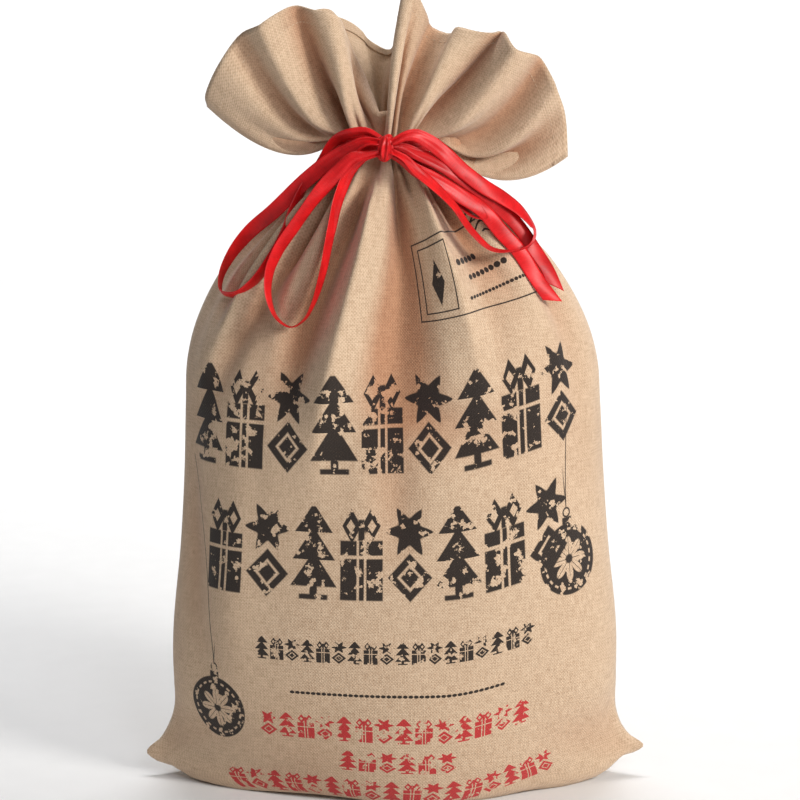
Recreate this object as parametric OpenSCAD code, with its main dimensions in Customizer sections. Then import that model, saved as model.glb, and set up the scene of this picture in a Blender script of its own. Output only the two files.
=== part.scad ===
// Upright cloth gift sack, filled and tied at the neck with a ribbon bow.
// Millimetres, +Z up. The origin is the middle of the base on the floor, and the front faces -Y.

/* [Sack] */
// Height of the middle of the tie above the floor
neck_z = 600; // [500:5:700]
// Half width of the filled body where it is widest
half_w = 206; // [170:2:250]
// Half depth of the filled body where it is deepest
half_d = 102; // [85:1:120]
// How far each bottom corner stands out beyond the widest part of the sides
ear_reach = 26; // [12:1:40]
// Thickness of the cloth shells
cloth_t = 2.5; // [2:0.1:3.5]
// Gap between the front and back panels along their sewn edges
seam_gap = 2; // [1.6:0.1:2.4]

/* [Neck] */
// Radius of the gathered neck under the tie
neck_r = 45; // [36:1:50]
// Radius left open at the core of the gathers
core_r = 7; // [5:1:12]
// Sideways place of the neck, left of the middle of the base
neck_x = -8; // [-20:1:20]
// Height of the even stretch of the neck that the tie sits on
neck_band = 18; // [16:1:26]

/* [Frill] */
// Length of the gathered top from the tie to the mouth, at the sides
frill_len = 165; // [120:5:190]
// Direction of the left edge of the fanned top, from +X
frill_left = 169; // [150:1:175]
// Direction of the right edge of the fanned top, from +X
frill_right = -5; // [-15:1:20]
// How far each panel leans out at the middle of the mouth
frill_lean = 55; // [30:1:80]
// Share of its length that the middle of the fan loses by leaning
frill_dip = 0.2; // [0.1:0.01:0.3]
// Depth of the turned-over hem at the mouth
hem_w = 18; // [10:1:30]
// Thickness of the turned-over cloth of the hem
hem_t = 1.6; // [1:0.1:2.5]
// Gap between the hem and the panel that it is turned over on
hem_gap = 1; // [0.6:0.1:1.5]

/* [Seams and filling] */
// Width of the sewn allowance inside each side seam
allowance = 8; // [6:0.5:12]
// Height of the sewn allowance inside the bottom seam
bottom_allowance = 4; // [3:0.5:8]
// Gap between the filling and the cloth around it
fill_gap = 1; // [0.5:0.1:2]

/* [Ribbon] */
// Width of the satin ribbon
ribbon_w = 15; // [10:1:18]
// Thickness of the ribbon as modelled
ribbon_t = 1.2; // [0.8:0.1:1.6]
// Width that the ribbon is pinched to at the knot
pinch_w = 7; // [5:0.5:8]
// Height of the ribbon wound round the neck
wrap_h = 14; // [10:1:16]
// Thickness of the wound ribbon
wrap_t = 1.6; // [1:0.1:3]
// Radius of the knot
knot_r = 9; // [7:0.5:11]
// Height of the knot
knot_h = 26; // [20:1:30]
// Clearance between the wound ribbon, the neck and the knot
tie_gap = 0.3; // [0.2:0.1:0.6]

/* [Hidden] */

hessian = [0.80, 0.69, 0.55];
hessian_dark = [0.68, 0.56, 0.43];
satin_red = [0.86, 0.08, 0.09];
satin_deep = [0.66, 0.05, 0.07];
wadding = [0.93, 0.91, 0.86];

columns = 24;
half_gap = seam_gap / 2;
// Left of the sewn edge, the outline of the filled body: share of the neck's height,
// half width and half depth as shares of the widest, and how far the section's ends pinch.
BODY = [[0.020, 1.030, 0.83, 1.7], [0.047, 1 + ear_reach / half_w, 0.89, 2.0],
        [0.083, 1.010, 0.93, 1.5], [0.133, 1.000, 0.96, 1.2], [0.250, 0.993, 1.00, 1],
        [0.375, 0.965, 1.00, 1], [0.500, 0.942, 1.00, 1], [0.600, 0.922, 0.985, 1],
        [0.667, 0.908, 0.965, 1], [0.717, 0.874, 0.94, 1], [0.750, 0.835, 0.91, 1],
        [0.787, 0.777, 0.87, 1], [0.820, 0.714, 0.83, 1], [0.853, 0.630, 0.77, 1],
        [0.887, 0.534, 0.70, 1], [0.917, 0.450, 0.63, 1], [0.943, 0.375, 0.57, 1]];
base_w = 0.91 * half_w;
base_d = 0.76 * half_d;
base_pinch = 1.5;
// Rows of the body that the filling reaches
fill_rows = 15;
// Parts of the way from the tie to the mouth at which the top has a row
FRILL = [0.12, 0.25, 0.4, 0.55, 0.7, 0.85, 1];
frill_rise = 34;
body_rows = len(BODY) + 1;
neck_rows = 2;
last_row = body_rows + neck_rows + len(FRILL) - 1;

function unit(v) = v / norm(v);
function angle(j) = 180 * j / columns;
// Where a section's middle lies: the neck stands a little to one side
function middle(z) = neck_x * pow(z / neck_z, 3);
// One point of a body section on the front half, a from the middle to its side, b to its front
function section(a, b, pinch, z, j) =
    [middle(z) - a * cos(angle(j)), -half_gap - (b - half_gap) * pow(sin(angle(j)), pinch), z];
function fan(j) = frill_left - (frill_left - frill_right) * j / columns;
function reach(j) = frill_len * (1 - frill_dip * pow(sin(angle(j)), 2));
function mouth(j) = [neck_x + reach(j) * cos(fan(j)), -half_gap - frill_lean * sin(angle(j)),
                     neck_z + reach(j) * sin(fan(j))];
function neck_point(j, z) = section(neck_r, neck_r, 1, z, j) + [neck_x - middle(z), 0, 0];
function bezier(p, q, r, t) = (1 - t) * (1 - t) * p + 2 * t * (1 - t) * q + t * t * r;
function frill_point(t, j) =
    let (p = neck_point(j, neck_z + neck_band / 2))
    bezier(p, p + [0, 0, frill_rise], mouth(j), t);
// The outer face of the front panel, row by row from the floor to the mouth
function outer(i, j) =
    i == 0 ? section(base_w, base_d, base_pinch, 0, j) :
    i < body_rows ?
        let (s = BODY[i - 1]) section(s[1] * half_w, s[2] * half_d, s[3], s[0] * neck_z, j) :
    i < body_rows + neck_rows ?
        neck_point(j, neck_z + (i - body_rows - 0.5) * neck_band) :
    frill_point(FRILL[i - body_rows - neck_rows], j);
function is_neck(i) = i >= body_rows && i < body_rows + neck_rows;
function along(i, j) =
    is_neck(i) ? [0, 0, 1] : unit(outer(min(i + 1, last_row), j) - outer(max(i - 1, 0), j));
// Inward direction: across the body, and mostly towards the back in the fanned top
function inward(i, j) =
    let (t = along(i, j), c = cos(angle(j)), s = sin(angle(j)), k = i > body_rows + 2 ? 4 : 1,
         e = sign(c) * pow(abs(c), k))
    unit([e * t[2], s * (k == 1 ? t[2] : 1), -e * t[0] - (k == 1 ? s * t[1] : 0)]);
// Thickness of the cloth: one layer on the body and at the mouth, all the gathers at the neck
gathers = neck_r - core_r;
THICK = [for (i = [0 : last_row])
    i < body_rows - 1 ? cloth_t :
    i < body_rows ? cloth_t + 0.1 * gathers :
    is_neck(i) ? gathers :
    cloth_t + gathers * 0.75 * pow(1 - FRILL[i - body_rows - neck_rows], 2.5)];
// A layer of the front half, d inside the outer face, with its lowest row flat at floor height
function layer(i, j, d) =
    i == 0 ? [outer(0, j)[0] + d * cos(angle(j)), min(outer(0, j)[1] + d * sin(angle(j)), -half_gap), d]
           : let (p = outer(i, j) + d * inward(i, j)) [p[0], min(p[1], -half_gap), p[2]];

// Closed shell between two grids of points, each rows x (columns + 1), the first one outside
module shell(first, second, rows) {
    n = columns + 1;
    points = concat([for (r = first) for (p = r) p], [for (r = second) for (p = r) p]);
    m = rows * n;
    faces = concat(
        [for (i = [0 : rows - 2]) for (j = [0 : n - 2]) each
            [[i * n + j, (i + 1) * n + j, (i + 1) * n + j + 1], [i * n + j, (i + 1) * n + j + 1, i * n + j + 1]]],
        [for (i = [0 : rows - 2]) for (j = [0 : n - 2]) each
            [[m + i * n + j, m + (i + 1) * n + j + 1, m + (i + 1) * n + j],
             [m + i * n + j, m + i * n + j + 1, m + (i + 1) * n + j + 1]]],
        [for (i = [0 : rows - 2]) each
            [[i * n, m + i * n, m + (i + 1) * n], [i * n, m + (i + 1) * n, (i + 1) * n],
             [i * n + n - 1, (i + 1) * n + n - 1, m + (i + 1) * n + n - 1],
             [i * n + n - 1, m + (i + 1) * n + n - 1, m + i * n + n - 1]]],
        [for (j = [0 : n - 2]) each
            [[(rows - 1) * n + j, m + (rows - 1) * n + j, m + (rows - 1) * n + j + 1],
             [(rows - 1) * n + j, m + (rows - 1) * n + j + 1, (rows - 1) * n + j + 1]]],
        // the floor of the outer face, the floor of the inner one, and the strip between them
        [[for (j = [0 : n - 1]) j], [for (j = [n - 1 : -1 : 0]) m + j],
         [0, n - 1, m + n - 1], [0, m + n - 1, m]]);
    polyhedron(points, faces, convexity = 8);
}

// Closed solid around a grid of points whose rows each close on themselves
module lofted(rings) {
    n = len(rings[0]);
    last = len(rings) - 1;
    faces = concat(
        [for (i = [0 : last - 1]) for (j = [0 : n - 1]) each
            [[i * n + j, (i + 1) * n + j, (i + 1) * n + (j + 1) % n],
             [i * n + j, (i + 1) * n + (j + 1) % n, i * n + (j + 1) % n]]],
        [[for (j = [0 : n - 1]) j], [for (j = [n - 1 : -1 : 0]) last * n + j]]);
    polyhedron([for (r = rings) for (p = r) p], faces, convexity = 8);
}

module panel() {
    rows = last_row + 1;
    shell([for (i = [0 : last_row]) [for (j = [0 : columns]) outer(i, j)]],
          [for (i = [0 : last_row]) [for (j = [0 : columns]) layer(i, j, THICK[i])]], rows);
}

module front_panel() color(hessian) panel();

module back_panel() color(hessian) mirror([0, 1, 0]) panel();

// Sewn allowance that fills the gap between the panels down one side, from corner to mouth
module side_seam(j) {
    deep = cloth_t + allowance;
    lofted([for (i = [0 : last_row])
        let (p = outer(i, j), r = layer(i, j, deep),
             q = i == 0 ? [r[0], r[1], cloth_t + bottom_allowance] : r)
        j == 0 ? [[p[0], half_gap, p[2]], [p[0], -half_gap, p[2]],
                  [q[0], -half_gap, q[2]], [q[0], half_gap, q[2]]]
               : [[q[0], half_gap, q[2]], [q[0], -half_gap, q[2]],
                  [p[0], -half_gap, p[2]], [p[0], half_gap, p[2]]]]);
}

module left_side_seam() color(hessian_dark) side_seam(0);

module right_side_seam() color(hessian_dark) side_seam(columns);

// Sewn allowance between the panels along the floor, from corner to corner
module bottom_seam() {
    inset = cloth_t + allowance + 2 * fill_gap;
    color(hessian_dark)
        translate([-base_w + inset, -half_gap, 0])
            cube([2 * (base_w - inset), seam_gap, cloth_t + bottom_allowance]);
}

// Turned-over edge inside the mouth of one panel, short of the side seams
module mouth_hem() {
    near = 2;
    far = columns - near;
    // share of the last strip of the panel that the hem covers: it lies along that strip's inner face
    back = hem_w / frill_len / (1 - FRILL[len(FRILL) - 2]);
    rings = [for (j = [near : far])
        let (p = layer(last_row, j, cloth_t + hem_gap),
             q = layer(last_row, j, cloth_t + hem_gap + hem_t),
             a = back * (layer(last_row - 1, j, THICK[last_row - 1] + hem_gap) - p))
        [p, p + a, q + a, q]];
    lofted(rings);
}

module mouth_hem_front() color(hessian_dark) mouth_hem();

module mouth_hem_back() color(hessian_dark) mirror([0, 1, 0]) mouth_hem();

// Soft filling that holds the body round: clear of the cloth and of the seams inside it
module stuffing() {
    function deep(j) = cloth_t + fill_gap + (allowance + fill_gap) * pow(abs(cos(angle(j))), 8);
    function half(i) = [for (j = [0 : columns]) i == 0 ? floor_point(j) : layer(i, j, deep(j))];
    function floor_point(j) =
        let (p = layer(0, j, deep(j))) [p[0], p[1], cloth_t + bottom_allowance + fill_gap];
    function ring(i) = let (h = half(i))
        concat(h, [for (j = [columns : -1 : 0]) [h[j][0], -h[j][1], h[j][2]]]);
    color(wadding) lofted([for (i = [0 : fill_rows]) ring(i)]);
}

tie_y = neck_r + tie_gap;
module ribbon_wrap() {
    color(satin_red) translate([neck_x, 0, neck_z - wrap_h / 2])
        rotate_extrude($fn = 96) translate([tie_y, 0]) square([wrap_t, wrap_h]);
}

// Knot in front of the neck: a round-ended bead of tightly pulled ribbon
knot_y = -(tie_y + wrap_t + tie_gap + knot_r);
module ribbon_knot() {
    color(satin_deep) translate([neck_x, knot_y, neck_z])
        rotate_extrude($fn = 64)
            intersection() {
                offset(r = knot_r / 2, $fn = 32)
                    square([knot_r, knot_h - knot_r], center = true);
                translate([0, -knot_h / 2]) square([knot_r, knot_h]);
            }
}

// Routes of the ribbon. Each one starts and ends beside the knot.
LEFT_OUTER = [[-25, -48, 613], [-38, -44, 611], [-54, -30, 601], [-67, -23, 581], [-80, -31, 563],
              [-89, -40, 546], [-98, -52, 522], [-112, -58, 498], [-126, -58, 480], [-142, -51, 468],
              [-155, -41, 469], [-156, -31, 479], [-148, -27, 497], [-131, -27, 519], [-109, -34, 539],
              [-75, -38, 572], [-54, -43, 589], [-38, -51, 599], [-25, -56, 606]];
LEFT_INNER = [[-25, -61, 594], [-34, -60, 593], [-49, -58, 580], [-70, -59, 557], [-89, -62, 531],
              [-102, -64, 512], [-111, -67, 490], [-111, -73, 467], [-102, -81, 450], [-91, -86, 445],
              [-80, -88, 452], [-72, -86, 466], [-64, -82, 490], [-56, -70, 528], [-48, -58, 560],
              [-36, -51, 583], [-25, -52, 592]];
RIGHT_OUTER = [[9, -60, 611], [17, -58, 612], [29, -54, 606], [44, -49, 594], [61, -49, 578],
               [79, -46, 564], [96, -39, 553], [112, -31, 540], [124, -30, 523], [120, -45, 513],
               [103, -62, 510], [84, -73, 514], [69, -74, 528], [51, -69, 552], [32, -69, 571],
               [19, -68, 582], [9, -64, 592]];
RIGHT_INNER = [[9, -48, 588], [20, -47, 585], [35, -45, 577], [50, -45, 565], [60, -50, 550],
               [70, -52, 539], [81, -49, 536], [78, -48, 546], [64, -46, 558], [43, -44, 579],
               [23, -46, 591], [9, -49, 597]];
FRONT_TAIL = [[9, -58, 588], [17, -59, 582], [32, -60, 574], [56, -57, 559], [78, -54, 544],
              [94, -51, 525], [110, -49, 507], [126, -50, 482], [144, -49, 457]];
REAR_TAIL = [[9, -56, 600], [17, -55, 596], [35, -52, 588], [61, -48, 571], [87, -41, 550],
             [107, -32, 530], [124, -31, 506], [136, -35, 488], [145, -41, 467]];
// The ribbon lies flat on the shoulder: its face looks out, forwards and up
function face_out(p) = unit([(p[0] - neck_x) / 230, p[1] / 90, 0.55]);
function heading(path, i) = unit(path[min(i + 1, len(path) - 1)] - path[max(i - 1, 0)]);
// The width grows from the pinch at the knot over the first steps of the route
function width_at(path, i, both) =
    let (from_end = both ? min(i, len(path) - 1 - i) : i)
    from_end == 0 ? pinch_w : from_end == 1 ? (pinch_w + ribbon_w) / 2 : ribbon_w;
// Flat eight-sided section of the ribbon at one point of its route
function band(path, i, both) =
    let (out = face_out(path[i]), t = heading(path, i), side = unit(cross(t, out)),
         up = unit(cross(side, t)), w = width_at(path, i, both) / 2, h = ribbon_t / 2)
    [for (c = [[-1, -0.4], [-1, 0.4], [-0.9, 1], [0.9, 1], [1, 0.4], [1, -0.4], [0.9, -1], [-0.9, -1]])
        path[i] + side * w * c[0] + up * h * c[1]];
module ribbon(path, both) lofted([for (i = [0 : len(path) - 1]) band(path, i, both)]);

module left_outer_loop() color(satin_red) ribbon(LEFT_OUTER, true);

module left_inner_loop() color(satin_red) ribbon(LEFT_INNER, true);

module right_inner_loop() color(satin_deep) ribbon(RIGHT_INNER, true);

module right_outer_loop() color(satin_red) ribbon(RIGHT_OUTER, true);

module front_tail() color(satin_red) ribbon(FRONT_TAIL, false);

module rear_tail() color(satin_deep) ribbon(REAR_TAIL, false);

front_panel();
back_panel();
left_side_seam();
right_side_seam();
bottom_seam();
mouth_hem_front();
mouth_hem_back();
stuffing();
ribbon_wrap();
ribbon_knot();
left_outer_loop();
left_inner_loop();
right_inner_loop();
right_outer_loop();
front_tail();
rear_tail();
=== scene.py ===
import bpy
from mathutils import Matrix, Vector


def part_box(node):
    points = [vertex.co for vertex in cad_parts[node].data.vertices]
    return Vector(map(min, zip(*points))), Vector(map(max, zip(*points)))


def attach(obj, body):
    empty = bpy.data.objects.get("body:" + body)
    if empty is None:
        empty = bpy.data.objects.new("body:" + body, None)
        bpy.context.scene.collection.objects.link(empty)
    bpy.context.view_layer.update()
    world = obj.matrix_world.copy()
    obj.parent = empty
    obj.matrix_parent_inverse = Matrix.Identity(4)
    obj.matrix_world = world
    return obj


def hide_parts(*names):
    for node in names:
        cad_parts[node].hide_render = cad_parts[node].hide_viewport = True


bl_info = {
    "name": "Cloth Gift Sack",
    "version": (1, 0, 0),
    "blender": (4, 5, 0),
    "location": "View3D > Sidebar > Gift Sack",
    "description": "A filled cloth gift sack, tied at the neck with a satin ribbon bow",
    "category": "Object",
}

import math

import bmesh
import bpy
import numpy as np
from bpy.props import FloatProperty, FloatVectorProperty, IntProperty, PointerProperty
from mathutils import Vector

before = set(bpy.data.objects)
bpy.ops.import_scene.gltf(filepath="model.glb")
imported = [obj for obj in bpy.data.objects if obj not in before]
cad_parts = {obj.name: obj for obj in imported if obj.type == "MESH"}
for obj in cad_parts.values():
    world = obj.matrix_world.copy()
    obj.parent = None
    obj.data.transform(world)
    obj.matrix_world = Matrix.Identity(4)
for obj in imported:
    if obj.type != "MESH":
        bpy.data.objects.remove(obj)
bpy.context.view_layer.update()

MM = 0.001

# ---------------- sizes of the plain parts

wrap_low, wrap_high = (Vector(corner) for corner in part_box("ribbon_wrap"))
panel_low, panel_high = (Vector(corner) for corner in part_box("front_panel"))
knot_low, knot_high = (Vector(corner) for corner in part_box("ribbon_knot"))

WRAP_WALL = 2 * MM
EAR_REACH = 1.126   # half width over the bottom corners, as a share of the body's
NECK = (wrap_low + wrap_high) / 2
NECK_R = (wrap_high.x - wrap_low.x) / 2 - WRAP_WALL
BAND = wrap_high.z - wrap_low.z
KNOT = (knot_low + knot_high) / 2
KNOT_HALF = (knot_high - knot_low) / 2
HALF_W = panel_high.x / EAR_REACH
HALF_D = -panel_low.y
FILLING_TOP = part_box("stuffing")[1][2]

# Outline of the filled body: share of the neck's height, half width and half depth as shares
# of the widest, and how far the section's ends pinch into the sewn edges.
OUTLINE = (
    (0.000, 0.930, 0.77, 1.6), (0.008, 1.030, 0.82, 2.0), (0.026, 1.124, 0.87, 2.4),
    (0.060, 1.060, 0.92, 1.8), (0.105, 1.005, 0.95, 1.3), (0.160, 1.000, 0.97, 1.1),
    (0.250, 0.995, 1.00, 1.0), (0.375, 0.958, 1.00, 1.0), (0.500, 0.932, 1.00, 1.0),
    (0.600, 0.918, 0.985, 1.0), (0.667, 0.905, 0.96, 1.0), (0.717, 0.868, 0.93, 1.0),
    (0.750, 0.828, 0.90, 1.0), (0.787, 0.770, 0.86, 1.0), (0.820, 0.706, 0.81, 1.0),
    (0.853, 0.622, 0.75, 1.0), (0.887, 0.528, 0.67, 1.0), (0.917, 0.446, 0.60, 1.0),
    (0.943, 0.365, 0.53, 1.0), (0.970, 0.275, 0.47, 1.0), (0.985, 0.216, 0.43, 1.0),
    (1.000, 0.207, 0.41, 1.0),
)
# The mouth's edge on each panel: share of the way from the left seam to the right one, then
# how far to the side, back and up from the neck it stands, in mm.
FRONT_MOUTH = (
    (0.000, -160, 0, 29), (0.030, -160, -9, 40), (0.085, -146, -26, 72), (0.150, -117, -38, 104),
    (0.215, -88, -40, 117), (0.270, -64, -36, 118), (0.325, -43, -24, 109), (0.372, -27, -8, 86),
    (0.408, -12, 2, 60), (0.433, -4, 6, 34), (0.450, 1, 4, 18), (0.465, 6, -6, 36),
    (0.480, 7, -16, 92), (0.497, 11, -24, 126), (0.525, 22, -28, 133), (0.555, 33, -24, 126),
    (0.590, 44, -12, 108), (0.630, 57, -6, 94), (0.680, 76, -20, 97), (0.730, 94, -34, 101),
    (0.790, 114, -40, 88), (0.860, 136, -38, 72), (0.920, 151, -26, 48), (0.970, 161, -12, 14),
    (1.000, 163, 0, -16),
)
BACK_MOUTH = (
    (0.000, -160, 0, 29), (0.040, -156, 14, 44), (0.120, -136, 36, 74), (0.210, -104, 56, 96),
    (0.300, -66, 66, 102), (0.370, -42, 74, 97), (0.430, -20, 70, 89), (0.480, 2, 64, 71),
    (0.540, 22, 60, 76), (0.600, 44, 70, 82), (0.680, 74, 60, 72), (0.770, 104, 48, 68),
    (0.850, 128, 40, 52), (0.920, 146, 24, 36), (0.970, 158, 10, 8), (1.000, 163, 0, -16),
)
# Where the mouth's lower rims sag to beside the neck: to the side, back and up from it, in mm.
LEFT_SAG = (-88, 0, -40)
RIGHT_SAG = (98, 0, -66)
# How far the bottom corners are lifted off the floor, left and right.
CORNERS_UP = (0.004, 0.014)
# About how far the fanned top reaches above the tie.
TOP_HEIGHT = 0.12
# The depth at which a valley's painted shade is at its darkest.
VALLEY_DEPTH = 16 * MM


# ---------------- settings

class SackSettings(bpy.types.PropertyGroup):
    """Sizes of the sewn sack."""
    flat_width: FloatProperty(
        name="Flat width", description="Width that each panel was cut to, between the seams",
        default=0.50, min=0.3, max=0.7, subtype="DISTANCE", unit="LENGTH")
    flat_length: FloatProperty(
        name="Flat length", description="Length of each panel from the bottom seam to the mouth",
        default=0.84, min=0.5, max=1.1, subtype="DISTANCE", unit="LENGTH")
    cloth_thickness: FloatProperty(
        name="Cloth thickness", description="Thickness of the woven cloth",
        default=0.0009, min=0.0004, max=0.002, subtype="DISTANCE", unit="LENGTH")
    pleats: IntProperty(
        name="Pleats", description="Gathers across each panel at the neck",
        default=12, min=6, max=18)
    pleat_depth: FloatProperty(
        name="Pleat depth", description="Depth of the gathers at the neck",
        default=0.016, min=0.004, max=0.02, subtype="DISTANCE", unit="LENGTH")


class RibbonSettings(bpy.types.PropertyGroup):
    """Sizes of the ribbon bow."""
    width: FloatProperty(
        name="Ribbon width", description="Width of the satin ribbon",
        default=0.0138, min=0.008, max=0.02, subtype="DISTANCE", unit="LENGTH")
    thickness: FloatProperty(
        name="Ribbon thickness", description="Thickness of the satin ribbon",
        default=0.0004, min=0.0002, max=0.001, subtype="DISTANCE", unit="LENGTH")
    pinch: FloatProperty(
        name="Pinch", description="Share of its width that the ribbon keeps at the knot",
        default=0.45, min=0.3, max=1.0, subtype="FACTOR")


class ColourSettings(bpy.types.PropertyGroup):
    """Colours of the materials."""
    cloth: FloatVectorProperty(
        name="Cloth", description="Colour of the cloth's lighter threads",
        default=(0.72, 0.54, 0.375), size=3, min=0, max=1, subtype="COLOR")
    cloth_dark: FloatVectorProperty(
        name="Cloth shade", description="Colour of the cloth's darker threads",
        default=(0.45, 0.30, 0.19), size=3, min=0, max=1, subtype="COLOR")
    black_ink: FloatVectorProperty(
        name="Black ink", description="Colour of the black print",
        default=(0.010, 0.008, 0.009), size=3, min=0, max=1, subtype="COLOR")
    red_ink: FloatVectorProperty(
        name="Red ink", description="Colour of the red print",
        default=(0.50, 0.025, 0.03), size=3, min=0, max=1, subtype="COLOR")
    satin: FloatVectorProperty(
        name="Satin", description="Colour of the ribbon",
        default=(0.76, 0.008, 0.011), size=3, min=0, max=1, subtype="COLOR")


def settings():
    """The settings of the sack, of the ribbon and of the colours."""
    scene = bpy.context.scene
    return scene.gift_sack, scene.gift_ribbon, scene.gift_colours


# ---------------- smooth curves and grids

def smooth_through(stations, values, at):
    """Values at the places `at` on a smooth curve through values given at rising stations."""
    x, y = np.asarray(stations, float), np.asarray(values, float)
    slope = np.gradient(y, x)
    i = np.clip(np.searchsorted(x, at, side="right") - 1, 0, len(x) - 2)
    h = x[i + 1] - x[i]
    t = (at - x[i]) / h
    a, b = (1 + 2 * t) * (1 - t) ** 2, t * t * (3 - 2 * t)
    c, d = t * (1 - t) ** 2, t * t * (t - 1)
    return a * y[i] + b * y[i + 1] + (c * slope[i] + d * slope[i + 1]) * h


def through_keys(keys, at):
    """Points at the places `at` on a smooth curve through keys of (place, x, y, z)."""
    k = np.asarray(keys, float)
    return np.stack([smooth_through(k[:, 0], k[:, i], at) for i in (1, 2, 3)], axis=-1)


def curve_through(points, at):
    """Points at the shares `at` of the length of a smooth curve through the given points."""
    p = np.asarray(points, float)
    along = np.concatenate([[0], np.cumsum(np.linalg.norm(np.diff(p, axis=0), axis=1))])
    return through_keys(np.column_stack([along / along[-1], p]), at)


def ease(low, high, x):
    """Smooth step from 0 at low to 1 at high."""
    t = np.clip((x - low) / (high - low), 0, 1)
    return t * t * (3 - 2 * t)


def bump(x, middle, width):
    """A soft ridge of height 1 around the middle."""
    return np.exp(-(((x - middle) / width) ** 2))


def ripple(x, y, seed, scale):
    """Smooth irregular waves, between about -1 and 1."""
    total = np.zeros_like(x)
    for k in range(5):
        a = seed * 1.7 + k * 2.399
        f = scale * (0.7 + 0.33 * k)
        total += np.sin(f * (x * math.cos(a) + y * math.sin(a)) + seed * 3.1 + k * 1.3)
    return total / 3


def grid_piece(name, columns, rows, place, uv=None):
    """A sheet of quads whose points place(u, v) puts; uv(u, v) gives their places on flat cloth."""
    shape = bmesh.new()
    bmesh.ops.create_grid(shape, x_segments=columns, y_segments=rows, size=0.5)
    shape.verts.ensure_lookup_table()
    u = np.array([round((v.co.x + 0.5) * columns) / columns for v in shape.verts])
    v = np.array([round((v.co.y + 0.5) * rows) / rows for v in shape.verts])
    points = place(u, v)
    flat = uv(u, v) if uv else (u, v)
    layer = shape.loops.layers.uv.new("cloth")
    for vert, point in zip(shape.verts, points):
        vert.co = point
    for face in shape.faces:
        face.smooth = True
        for loop in face.loops:
            k = loop.vert.index
            loop[layer].uv = (flat[0][k], flat[1][k])
    return finished(name, shape)


def finished(name, shape):
    """The bmesh as an object at the origin, linked to the scene."""
    mesh = bpy.data.meshes.new(name)
    shape.to_mesh(mesh)
    shape.free()
    piece = bpy.data.objects.new(name, mesh)
    bpy.context.scene.collection.objects.link(piece)
    return piece


def thicken(piece, thickness, offset=-1.0):
    """Give a sheet its wall: inwards at an offset of -1, to both sides at 0."""
    wall = piece.modifiers.new("thickness", "SOLIDIFY")
    wall.thickness = thickness
    wall.offset = offset
    return wall


def dress(piece, material):
    piece.data.materials.clear()
    piece.data.materials.append(material)


# ---------------- the shape of the cloth

# Shares of a panel's length that lie under the filling and below the tie.
BASE_ROWS = 0.085
NECK_ROW = 0.775
BODY_AT = tuple(row[0] for row in OUTLINE)


def body_row(v):
    """Height, half width and depth, pinch, and share of the depth reached, of rows of the cloth."""
    on_floor = np.clip(v / BASE_ROWS, 0, 1)
    height = np.clip((v - BASE_ROWS) / (NECK_ROW - BASE_ROWS), 0, 1)
    a = smooth_through(BODY_AT, [r[1] for r in OUTLINE], height) * HALF_W
    b = smooth_through(BODY_AT, [r[2] for r in OUTLINE], height) * HALF_D
    k = smooth_through(BODY_AT, [r[3] for r in OUTLINE], height)
    return height * NECK.z, a, b, k, on_floor


def even_angles(u, a, b, k, reach):
    """Angles across a section at which the cloth is evenly spread, from the left seam's side."""
    angle = np.linspace(0, math.pi, 181)
    out = np.empty_like(u)
    keys = np.round(np.stack([a, b, k, reach]).T, 6)
    rows, which = np.unique(keys, axis=0, return_inverse=True)
    which = which.reshape(-1)
    for i, (wide, deep, pinch, share) in enumerate(rows):
        x = -wide * np.cos(angle)
        y = deep * share * np.sin(angle) ** pinch
        along = np.concatenate([[0], np.cumsum(np.hypot(np.diff(x), np.diff(y)))])
        mine = which == i
        out[mine] = np.interp(u[mine], along / along[-1], angle)
    return out


def pleat_phase(u, pleats, seed):
    """Where a column stands among the gathers, which are uneven in width."""
    return pleats * u + 0.35 * np.sin(7.1 * u + seed) + 0.22 * np.sin(17.3 * u + 2.2 * seed)


def fold_line(x, middle, width):
    """A crisper ridge of height 1 at the middle."""
    return np.exp(-(np.abs(x - middle) / width) ** 1.35)


def gathers(u, below, pleats, depth, seed):
    """Inward dents of the gathers at a distance below or above the tie, in metres."""
    fine = np.abs(np.sin(math.pi * pleat_phase(u, pleats, seed))) ** 0.8
    pairs = 0.5 - 0.5 * np.cos(math.pi * pleat_phase(u, pleats, seed) + 0.8)
    each = 0.55 + 0.45 * np.sin(9.7 * u * pleats / 3 + seed * 5)
    near = np.exp(-((below / 0.060) ** 1.4))
    far = np.exp(-((below / (0.095 + 0.07 * each)) ** 1.6))
    return depth * (near * (1 - fine) * (0.75 + 0.25 * each) + 0.8 * far * pairs * each)


# Folds that run down from the neck: shape, height in mm (a valley's is negative), middle at the
# neck and its lean on the way down, width and its spread, and the drops between which it dies out.
FRONT_FOLDS = (
    # the long bright ridge left of the middle, with a valley on its left side
    (fold_line, 22.0, 0.462, -0.25, 0.020, 0.075, 0.28, 0.54),
    (bump, -21.0, 0.392, -0.26, 0.020, 0.085, 0.24, 0.46),
    # the deep wedge under the knot, which opens downwards, and the ridge on its right
    (bump, -27.0, 0.548, -0.12, 0.018, 0.150, 0.28, 0.44),
    (fold_line, 13.0, 0.628, 0.12, 0.020, 0.060, 0.20, 0.42),
    # the shoulders' slanting folds
    (bump, -15.0, 0.285, -0.42, 0.020, 0.065, 0.24, 0.46),
    (fold_line, 12.0, 0.225, -0.34, 0.022, 0.060, 0.22, 0.42),
    (bump, -11.0, 0.140, -0.10, 0.028, 0.000, 0.20, 0.36),
    (bump, -12.0, 0.735, 0.22, 0.022, 0.050, 0.12, 0.28),
    (bump, 7.0, 0.800, 0.10, 0.040, 0.000, 0.14, 0.30),
)
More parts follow.
